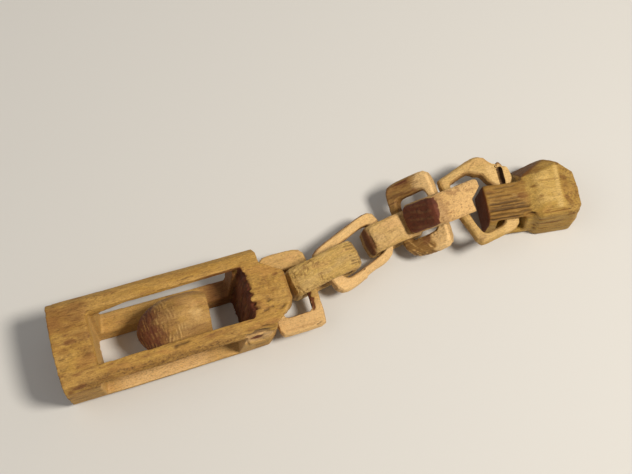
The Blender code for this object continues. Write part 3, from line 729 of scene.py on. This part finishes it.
def carve_link_6():
    wood = worked_link("link_6", 301, facet=(9.0, 5.0, 0.2), softness=3)
    x, y, z = wood.rest.T
    hole_dirt_and_shade(wood, 0.6)
    blur = 0.8 * uneven(wood.stretched(1.8, 1.8), 302) + 0.4 * uneven(wood.stretched(0.8, 0.8), 304)
    edge = np.hypot(np.maximum(np.abs(y) - 5.5, 0), np.maximum(np.abs(z) - 1.5, 0))
    wood.height -= 1.5 * ramp(edge, 3.4, 8.6) * (1 - ramp(x, -16.0, -12.0))
    # The left end face is brown and red: partly end grain, partly painted shade, as it faces away from
    # the light.
    end_face_grain_and_shade = (1 - ramp(x + blur + 0.14 * z, -16.0, -14.2)) * ramp(-wood.facing[:, 0], 0.1, 0.45)
    wood.stain("brown", end_face_grain_and_shade)
    wood.stain("rust", end_face_grain_and_shade)
    for low, high, across in (
        (-5.6, 2.0, 0.6),
        (0.5, 8.0, 1.7),
        (-4.0, 1.5, -2.9),
        (1.0, 8.2, -1.4),
        (-6.0, 4.0, 4.2),
        (-3.0, 6.0, -5.0),
    ):
        away = from_line(wood.rest, (-17.3, low, across), (-17.2, high, across + 0.8))
        rib = (1 - ramp(away + 0.3 * blur, 0.2, 1.0)) * end_face_grain_and_shade
        wood.height += 0.1 * rib
        wood.stains["rust"] *= 1 - 0.6 * rib
    rasped = ramp(rough(np.stack([x / 4.0, y / 5.0, z / 0.9], axis=1), 303, 3), 0.0, 0.8) * end_face_grain_and_shade
    wood.height -= 0.2 * rasped
    wood.stain("hollow", 0.4 * rasped)
    top = ramp(y, 8.5, 10.5) * (1 - end_face_grain_and_shade)
    wood.stain("pale", top * (0.45 + 0.3 * ramp(x, -10.0, 2.0)))
    curls = ramp(rough(wood.stretched(3.0, 1.6), 307, 3), 0.0, 0.8)
    wood.height -= 0.16 * top * curls
    wood.stain("brown", 0.5 * top * curls)
    fuzz = wood.pits(1.1, 0.2, 305, top * ramp(rough(wood.stretched(4.0, 3.0), 306, 2), -0.6, 0.3))
    wood.stain("brown", 0.55 * fuzz)
    wood.stain("speck", 0.34 * top * (1 - ramp(x, 2.0, 10.0)))
    old = top * (1 - ramp(x + 2.0 * blur, -12.5, -7.0))
    wood.stain("brown", 0.45 * old)
    return wood


def carve_link_7():
    wood = worked_link("link_7", 321, facet=(7.0, 5.5, 0.3), softness=5)
    x, y, z = wood.rest.T
    hole_dirt_and_shade(wood, 0.6)
    wood.stain("brown", 0.16)
    wood.stain("pale", 0.42 * ramp(z, 1.4, 2.4))
    wood.stain("speck", 0.4 * (1 - ramp(x - 0.3 * y, 2.0, 8.0)))
    wood.stain("pale", 0.8 * ramp(x - 0.3 * y, 7.5, 10.0) * ramp(z, 0.2, 1.6))
    wood.stain("pale", 0.4 * wood.spot((7.6, 18.4, 2.7), (4.0, 4.0, 3.0)))

    # The lump beyond the split is rounded off, and a finger of paler wood is left along it
    from_lump = np.hypot(x - 17.9, y - 8.8)
    lump = ramp(x - 0.2 * (y - 8.0), 14.0, 15.2) * ramp(y, 0.0, 4.0) * (1 - ramp(y, 16.0, 18.0))
    wood.height -= 1.7 * lump * ramp(from_lump, 2.8, 6.6)
    wood.stain("pale", 0.95 * lump * (1 - ramp(from_lump, 6.0, 9.0)))
    # Painted shadow: the split between finger and lump is darkened along its length, and its two ends are
    # painted near black as deep shadowed holes.
    split = from_line(wood.rest, (15.4, 14.6, 1.0), (12.8, 1.6, 1.0))
    split_painted_shadow = (1 - ramp(split, 0.9, 1.9)) * (1 - ramp(z, 2.0, 2.7))
    wood.stain("hollow", 0.95 * split_painted_shadow)
    wood.stain("rust", 0.5 * (1 - ramp(split, 1.5, 2.4)))
    wood.height -= 0.5 * split_painted_shadow
    wood.groove((13.8, 4.2, 1.6), (12.0, -1.4, 0.6), 2.4, 1.6, dark=1.0, wander=0.3, seed=6)
    wood.groove((15.6, 15.0, 1.4), (15.2, 11.8, 1.2), 1.7, 0.8, dark=0.8)
    finger = from_line(wood.rest, (10.4, 13.0, 2.7), (11.3, 3.4, 2.7))
    wood.stain("pale", 0.9 * (1 - ramp(finger, 1.4, 3.6)))
    shrink_corner(wood)
    wood.groove((9.8, 20.2, 2.7), (14.8, 15.0, 2.7), 0.7, 0.3, dark=0.3, wander=0.3)
    wood.groove((-9.0, 8.0, 2.7), (4.0, 18.5, 2.7), 0.5, 0.22, dark=0.35, wander=0.4, seed=9)
    wood.stain("rust", 0.4 * wood.spot((-8.4, -18.4, 2.7), (4.0, 3.0, 3.0)))
    wood.stain("rust", 0.35 * wood.spot((2.0, 19.0, 2.0), (5.0, 2.0, 2.0)))
    return wood


# The last link's broad corner: the way its outer and far rims face, in degrees from the link's X
CORNER_FACES = 44
CORNER_FAR_FACES = 108
# How far those rims and the hole lie from the link's middle, in millimetres
CORNER_RIM = 24.3
CORNER_FAR_RIM = 18.5
CORNER_HOLE = 9.9
# The most that its outside loses and its hole gains
CORNER_LOST = 3.7
CORNER_DEEPER = 1.6


def straight_rim(turned, faces, away):
    """How far off a straight rim lies in each direction, from the way it faces."""
    return away / np.maximum(np.cos(turned - math.radians(faces)), 0.1)


def shrink_corner(wood):
    """The last link's broad corner has lost wood outside, and its hole runs deeper into it."""
    x, y = wood.rest[:, 0], wood.rest[:, 1]
    reach = np.hypot(x, y)
    turned = np.arctan2(y, x)
    direction = np.degrees(turned)
    rim = np.minimum(
        straight_rim(turned, CORNER_FACES, CORNER_RIM),
        straight_rim(turned, CORNER_FAR_FACES, CORNER_FAR_RIM),
    )
    hole = straight_rim(turned, CORNER_FACES, CORNER_HOLE)
    lost = CORNER_LOST * ramp(direction, 32, 52) * (1 - ramp(direction, 55, 80))
    lost *= ramp(reach, rim - 7.5, rim)
    deeper = CORNER_DEEPER * within(direction, 56, 74, 10) * (1 - ramp(reach, hole, hole + 5.0))
    change = (deeper - lost) / np.maximum(reach, 0.001)
    wood.points[:, 0] += x * change
    wood.points[:, 1] += y * change


# The knob

KNOB_FINENESS = 0.36
# Rounds of smoothing that wear the knob's edges
KNOB_SOFTNESS = 55

# Grooves in the top of the knob's tongue: level across, start, end, width and depth
KNOB_GROOVES = (
    (-10.3, 1.0, 17.5, 0.9, 0.6),
    (-8.5, 1.5, 23.5, 1.0, 1.0),
    (-6.0, 1.0, 23.5, 1.1, 1.1),
    (-4.5, 3.5, 22.0, 0.7, 0.5),
    (-3.0, 2.5, 18.5, 0.9, 0.7),
    (-1.3, 5.0, 18.5, 0.7, 0.5),
    (0.6, 3.0, 15.0, 0.6, 0.35),
    (2.6, 2.0, 12.0, 0.6, 0.35),
    (4.6, 7.0, 17.5, 0.6, 0.3),
)


def carve_knob():
    wood = Surface("knob", KNOB_FINENESS, KNOB_SOFTNESS)
    x, y, z = wood.rest.T
    wood.facets(10.0, 6.5, 0.3, 401)
    wood.grain(0.08, 402, across=1.5, along=12.0)
    wood.height += 0.25 * uneven(wood.stretched(9.0, 6.0), 403)
    blurred = x + 0.8 * uneven(wood.stretched(2.0, 1.6), 404)
    on_tongue = (1 - ramp(blurred, 20.5, 23.5)) * ramp(z, 15.0, 17.5)
    step = (1 - ramp(np.abs(x - 22.6), 0.5, 4.0)) * ramp(z, 19.0, 20.5)
    wood.height -= 0.45 * step
    for across, low, high, width, depth in KNOB_GROOVES:
        level = 20.3 if across > -7.5 else 20.3 + (across + 7.5) * 0.7
        start = (low, across, level)
        end = (high, across + 0.25, level)
        dark = 0.86 if across < -2.0 else 0.6
        seed = int(40 + across)
        wood.groove(start, end, width, depth, dark=dark, wander=0.3, seed=seed, keep=on_tongue)
    wood.stain("brown", 0.56 * on_tongue)
    wood.stain("brown", 0.75 * wood.spot((19.6, -0.6, 20.4), (4.0, 2.6, 3.0)))
    wood.stain("rust", 0.35 * wood.spot((19.6, -0.6, 20.4), (3.6, 2.4, 3.0)))
    streak = from_line(wood.rest, (15.2, 0.6, 20.4), (17.2, -1.8, 20.4))
    wood.stain("pale", 0.7 * (1 - ramp(streak, 0.3, 0.9)))
    # The tongue's left end is brown, red and dark: partly end grain, partly painted shade on the face
    # turned from the light.
    left_end_grain_and_shade = (1 - ramp(x, 2.0, 3.6)) * ramp(-wood.facing[:, 0], 0.3, 0.6)
    wood.stain("brown", left_end_grain_and_shade)
    wood.stain("rust", 0.8 * left_end_grain_and_shade)
    wood.stain("hollow", 0.25 * left_end_grain_and_shade)
    # Painted shade: the knob's far faces are browned, more so and reddish towards the far left, where
    # they face away from the light.
    far = ramp(wood.facing[:, 1], 0.35, 0.65) * ramp(y, 5.0, 8.0)
    far_left_painted_shade = far * (1 - ramp(x, 27.0, 34.0))
    wood.stain("brown", 0.55 * far + 0.35 * far_left_painted_shade)
    wood.stain("rust", 0.35 * far_left_painted_shade)
    shape_plateau(wood)
    near = ramp(-wood.facing[:, 1], 0.3, 0.7) * ramp(x, 20.0, 22.0)
    wood.stain("brown", 0.3 * near)
    fine_lines = ramp(rough(wood.stretched(14.0, 0.9), 408, 3), 0.1, 0.7)
    wood.height -= 0.18 * near * fine_lines
    wood.stain("brown", 0.75 * near * fine_lines)
    end_grain = ramp(wood.facing[:, 0], 0.75, 0.95)
    wood.stain("brown", 0.55 * end_grain)
    wood.height -= 0.15 * end_grain * ramp(rough(wood.stretched(2.0, 1.2), 406, 3), -0.2, 0.8)
    streaks = ramp(rough(wood.stretched(9.0, 1.3), 407, 3), 0.15, 0.9)
    wood.stain("brown", 0.42 * streaks)
    return wood


def shape_plateau(wood):
    """The knob's flat top, its ridge, the slope beyond and the chipped shoulder below."""
    x, y, z = wood.rest.T
    blur = 1.3 * uneven(wood.stretched(3.5, 3.5), 409)
    plateau = ramp(x + blur + 0.25 * np.abs(y - 1.0), 24.5, 27.0) * (1 - ramp(x, 35.5, 37.5))
    plateau *= ramp(z, 21.0, 22.2)
    plateau *= within(y + blur, -7.6, 9.6, 1.2)
    mottled = ramp(rough(wood.stretched(2.6, 1.8), 410, 3), -0.5, 0.6)
    wood.stain("pale", plateau * (0.35 + 0.4 * mottled))
    ridge = from_line(wood.rest, (36.6, 9.4, 22.8), (34.6, -9.0, 22.8))
    wood.stain("pale", 0.85 * (1 - ramp(ridge + 0.4 * blur, 0.5, 1.9)))
    slope = ramp(x, 36.2, 38.2) * ramp(z, 13.0, 16.0)
    wood.stain("brown", slope * (0.34 + 0.3 * ramp(rough(wood.stretched(4.0, 2.4), 411, 3), 0.0, 0.8)))
    wood.stain("speck", 0.4 * slope)
    pit = wood.pits(1.3, 0.22, 405, slope)
    wood.stain("hollow", 0.3 * pit)
    for middle, reach in (
        ((38.7, -5.5, 22.0), (2.4, 2.2, 2.5)),
        ((39.5, -10.6, 19.6), (3.0, 1.8, 3.0)),
        ((25.0, 2.4, 22.0), (2.4, 1.2, 2.0)),
        ((27.4, -3.4, 22.6), (2.0, 1.0, 2.0)),
    ):
        wood.stain("brown", 0.62 * wood.spot(middle, reach))
    shoulder = from_line(wood.rest, (20.5, -10.2, 18.6), (30.0, -9.2, 22.0))
    wood.height -= 0.4 * (1 - ramp(shoulder, 0.4, 2.0))
    wood.stain("brown", 0.55 * (1 - ramp(shoulder, 0.3, 2.2)))
    wood.groove((20.0, -10.8, 18.4), (23.4, -9.6, 20.4), 1.1, 0.9, dark=0.8, wander=0.4, seed=412)
    wood.stain("pale", 0.5 * wood.spot((21.4, -12.6, 16.0), (2.6, 1.8, 3.0)))


# Finishes

class Value:
    """A shader value that Python sums can be written with."""

    def __init__(self, finish, socket):
        self.finish = finish
        self.socket = socket

    def worked(self, operation, first, second):
        return self.finish.node("ShaderNodeMath", {"operation": operation}, {0: first, 1: second})

    def __add__(self, other):
        return self.worked("ADD", self, other)

    def __radd__(self, other):
        return self.worked("ADD", other, self)

    def __sub__(self, other):
        return self.worked("SUBTRACT", self, other)

    def __rsub__(self, other):
        return self.worked("SUBTRACT", other, self)

    def __mul__(self, other):
        return self.worked("MULTIPLY", self, other)

    def __rmul__(self, other):
        return self.worked("MULTIPLY", other, self)


class Finish:
    """One material, built from nodes."""

    def __init__(self, name):
        self.material = bpy.data.materials.new(name)
        self.material.use_nodes = True
        self.tree = self.material.node_tree
        self.surface = self.tree.nodes["Principled BSDF"]

    def node(self, kind, settings, sockets, output=0):
        """Adds a node, with its settings first and then the values or links of its sockets."""
        made = self.tree.nodes.new(kind)
        for key, setting in settings.items():
            setattr(made, key, setting)
        for key, value in sockets.items():
            self.put(made.inputs[key], value)
        return Value(self, made.outputs[output])

    def put(self, socket, value):
        if isinstance(value, Value):
            self.tree.links.new(value.socket, socket)
        else:
            socket.default_value = value

    def mixed(self, share, first, second):
        """A colour between two colours."""
        sockets = {0: share, 6: first, 7: second}
        return self.node("ShaderNodeMix", {"data_type": "RGBA"}, sockets, output=2)

    def noise(self, place, stretch, detail, seed):
        """Unevenness whose bumps are stretched by the given amounts."""
        scaled = self.node("ShaderNodeVectorMath", {"operation": "MULTIPLY"}, {0: place, 1: stretch})
        sockets = {"Vector": scaled, "W": seed, "Scale": 1.0, "Detail": detail, "Roughness": 0.6}
        return self.node("ShaderNodeTexNoise", {"noise_dimensions": "4D"}, sockets)

    def stepped(self, value, low, high):
        """0 below low, 1 above high and a smooth rise between."""
        settings = {"interpolation_type": "SMOOTHSTEP"}
        return self.node("ShaderNodeMapRange", settings, {0: value, 1: low, 2: high, 3: 0.0, 4: 1.0})

    def stain(self, kind):
        """How far one of the carved surface's stains covers it."""
        return self.node("ShaderNodeAttribute", {"attribute_name": kind}, {}, output=2)


def linear(value):
    """One channel from 0 to 255, as light."""
    share = value / 255
    return share / 12.92 if share <= 0.04045 else ((share + 0.055) / 1.055) ** 2.4


def colour(tone, lightness=1.0):
    """A colour for a shader from the usual 0 to 255 values."""
    return tuple(min(1.0, linear(value) * lightness) for value in tone) + (1.0,)


# Tones from 0 to 255: freshly cut wood, reddish stains and the bottoms of cracks; in places they also
# colour painted light and painted shade
CREAM = (228, 186, 126)
RUST = (100, 46, 24)
DEEP = (44, 22, 12)

# How deep the finest grain looks, in metres
GRAIN_DEPTH = 0.00032


def wood_finish(name, body, pale, brown, seed, fibre):
    """Bare wood: growth rings and fibres along the grain, stains, fresh cuts and dark hollows, some of
    which carry painted shade and painted light.
    """
    finish = Finish(name + "_finish")
    lie = Vector(LIES[name][0]) + Vector(FOOT)
    where = finish.node("ShaderNodeTexCoord", {}, {}, output=3)
    turned = {"Vector": where, "Location": lie * MM, "Rotation": turn_of(name), "Scale": (MM, MM, MM)}
    place = finish.node("ShaderNodeMapping", {"vector_type": "TEXTURE"}, turned)
    rings = finish.noise(place, (0.03, 0.5, 0.42), 2.0, seed)
    clouds = finish.noise(place, (0.06, 0.18, 0.18), 2.0, seed + 3.7)
    streaks = finish.noise(place, (0.24, 1.5, 1.5), 3.0, seed + 1.3)
    fibres = finish.noise(place, (0.3, 3.0, 3.0), 2.0, seed + 5.2)
    pores = finish.noise(place, (0.7, 3.4, 3.4), 1.0, seed + 2.1)
    mottle = finish.noise(place, (0.9, 1.3, 1.3), 2.0, seed + 6.4)
    grit = finish.noise(place, (1.5, 2.0, 2.0), 2.0, seed + 7.9)
    olive = tuple(channel * change for channel, change in zip(body, (0.96, 0.95, 0.84)))
    ruddy = tuple(channel * change for channel, change in zip(body, (1.0, 0.93, 0.93)))
    shown = finish.mixed(finish.stepped(rings, 0.4, 0.66) * 0.6, colour(body), colour(body, 0.7))
    shown = finish.mixed(finish.stepped(clouds, 0.4, 0.56), shown, colour(olive, 0.96))
    shown = finish.mixed(finish.stepped(clouds, 0.54, 0.68) * 0.6, shown, colour(ruddy, 0.9))
    shown = finish.mixed(finish.stepped(streaks, 0.5, 0.66) * 0.42, shown, colour(body, 0.42))
    shown = finish.mixed(finish.stain("pale") * (0.7 + 0.5 * fibres), shown, colour(pale))
    shown = finish.mixed(finish.stepped(mottle, 0.5, 0.66) * 0.34, shown, colour(body, 1.4))
    shown = finish.mixed(finish.stepped(grit, 0.5, 0.64) * 0.36, shown, colour(body, 0.5))
    cover = finish.stepped(finish.stain("brown") + 0.55 * streaks + 0.2 * mottle - 0.4, 0.02, 0.9)
    shown = finish.mixed(cover * 0.92, shown, colour(brown))
    rusty = finish.stepped(finish.stain("rust") + 0.4 * streaks - 0.2, 0.08, 0.95)
    shown = finish.mixed(rusty * 0.92, shown, colour(RUST))
    shown = finish.mixed(finish.stepped(fibres, 0.48, 0.68) * (0.36 * fibre), shown, colour(brown, 1.1))
    shown = finish.mixed(finish.stepped(pores, 0.58, 0.7) * (0.42 * fibre), shown, colour(DEEP, 1.6))
    specks = finish.stepped(mottle, 0.53, 0.63) * finish.stain("speck")
    shown = finish.mixed(specks * 0.6, shown, colour(DEEP, 1.5))
    shown = finish.mixed(finish.stain("hollow") * 0.86, shown, colour(DEEP))
    finish.put(finish.surface.inputs["Base Color"], shown)
    finish.put(finish.surface.inputs["Roughness"], 0.56 + 0.26 * fibres - 0.08 * finish.stain("pale"))
    finish.surface.inputs["Specular IOR Level"].default_value = 0.35
    relief = fibres * 0.6 + streaks * 0.5 + grit * 0.4 - pores * 0.5 - specks * 0.35
    bump = finish.node("ShaderNodeBump", {}, {"Strength": 0.8, "Distance": GRAIN_DEPTH, "Height": relief})
    finish.put(finish.surface.inputs["Normal"], bump)
    return finish.material


# The room

FLOOR_REACH = 3.0
FLOOR_SHADE = (0.66, 0.645, 0.62)
SKY_SHADE = (1.0, 0.98, 0.95, 1.0)
SKY_STRENGTH = 0.21


def plain(name, shade, roughness):
    material = bpy.data.materials.new(name)
    material.use_nodes = True
    surface = material.node_tree.nodes["Principled BSDF"]
    surface.inputs["Base Color"].default_value = (*shade, 1.0)
    surface.inputs["Roughness"].default_value = roughness
    return material


def lay_floor():
    bm = bmesh.new()
    bmesh.ops.create_grid(bm, x_segments=1, y_segments=1, size=FLOOR_REACH)
    mesh = bpy.data.meshes.new("floor")
    bm.to_mesh(mesh)
    bm.free()
    mesh.materials.append(plain("floor_paper", FLOOR_SHADE, 0.9))
    floor = bpy.data.objects.new("floor", mesh)
    bpy.context.scene.collection.objects.link(floor)


def add_lamp(name, source, size, power, shade):
    """A round soft lamp that points at the middle of the object."""
    lamp = bpy.data.lights.new(name, "AREA")
    lamp.shape = "DISK"
    lamp.size = size
    lamp.energy = power
    lamp.color = shade
    thing = bpy.data.objects.new(name, lamp)
    bpy.context.scene.collection.objects.link(thing)
    thing.location = source
    thing.rotation_euler = (-Vector(source)).to_track_quat("-Z", "Y").to_euler()


def light_room():
    add_lamp("key_lamp", (0.52, -0.36, 0.95), 0.28, 12.4, (1.0, 0.94, 0.84))
    add_lamp("fill_lamp", (-0.9, 0.1, 1.1), 1.2, 3.2, (1.0, 0.97, 0.93))
    world = bpy.context.scene.world or bpy.data.worlds.new("room")
    bpy.context.scene.world = world
    world.use_nodes = True
    sky = world.node_tree.nodes["Background"]
    sky.inputs["Color"].default_value = SKY_SHADE
    sky.inputs["Strength"].default_value = SKY_STRENGTH


# The camera's place in the row's millimetres, its turn to the right and how far down it looks
CAMERA_PLACE = (-72.36, -203.22, 484.52)
CAMERA_YAW = math.radians(19.6)
CAMERA_DOWN = math.radians(66.0)
CAMERA_LENS = 65.4
CAMERA_SENSOR = 36.0


def place_camera():
    right = Vector((math.cos(CAMERA_YAW), -math.sin(CAMERA_YAW), 0.0))
    level = Vector((math.sin(CAMERA_YAW), math.cos(CAMERA_YAW), 0.0))
    ahead = level * math.cos(CAMERA_DOWN) - Vector((0.0, 0.0, math.sin(CAMERA_DOWN)))
    above = right.cross(ahead)
    eye = bpy.data.cameras.new("camera")
    eye.sensor_width = CAMERA_SENSOR
    eye.lens = CAMERA_LENS
    eye.clip_start = 0.01
    eye.clip_end = 20.0
    thing = bpy.data.objects.new("camera", eye)
    bpy.context.scene.collection.objects.link(thing)
    turned = Matrix((right, above, -ahead)).transposed().to_4x4()
    thing.matrix_world = Matrix.Translation((Vector(CAMERA_PLACE) + Vector(FOOT)) * MM) @ turned
    bpy.context.scene.camera = thing


def corners():
    """The object's low and high corners, in metres."""
    return [[float(value) for value in corner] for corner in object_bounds()]


CARVERS = {
    "cage": carve_cage,
    "captive_ball": carve_ball,
    "knob": carve_knob,
    "link_1": carve_link_1,
    "link_2": carve_link_2,
    "link_3": carve_link_3,
    "link_4": carve_link_4,
    "link_5": carve_link_5,
    "link_6": carve_link_6,
    "link_7": carve_link_7,
}
# Each piece's body, freshly cut and stained tones, and how strongly its fibres show. The pale and stained
# tones also colour painted light and painted shade in places.
TONES = {
    "cage": ((193, 150, 78), CREAM, (112, 64, 26), 1.0),
    "captive_ball": ((184, 143, 80), (222, 182, 116), (104, 58, 32), 0.6),
    "knob": ((194, 156, 80), (214, 178, 106), (118, 74, 24), 1.0),
    "link_1": ((208, 168, 104), CREAM, (128, 82, 42), 0.6),
    "link_2": ((202, 166, 100), (222, 188, 126), (124, 82, 40), 0.8),
    "link_3": ((214, 174, 112), (230, 190, 130), (124, 76, 40), 0.5),
    "link_4": ((208, 170, 108), (228, 188, 128), (98, 56, 28), 0.7),
    "link_5": ((202, 158, 90), (240, 200, 138), (104, 66, 30), 0.7),
    "link_6": ((210, 168, 108), (230, 188, 126), (112, 66, 36), 0.6),
    "link_7": ((206, 168, 102), (230, 192, 128), (124, 80, 38), 0.7),
}


def main():
    cad_box = corners()
    low, high = np.array(cad_box[0]), np.array(cad_box[1])
    for index, (name, carve) in enumerate(CARVERS.items()):
        piece = carve().finish(low, high)
        body, pale, brown, fibre = TONES[name]
        piece.data.materials.append(wood_finish(name, body, pale, brown, 3.1 * index, fibre))
        print(name, "faces", len(piece.data.polygons))
    lay_floor()
    light_room()
    place_camera()
    bpy.context.scene.view_settings.view_transform = "Standard"


main()
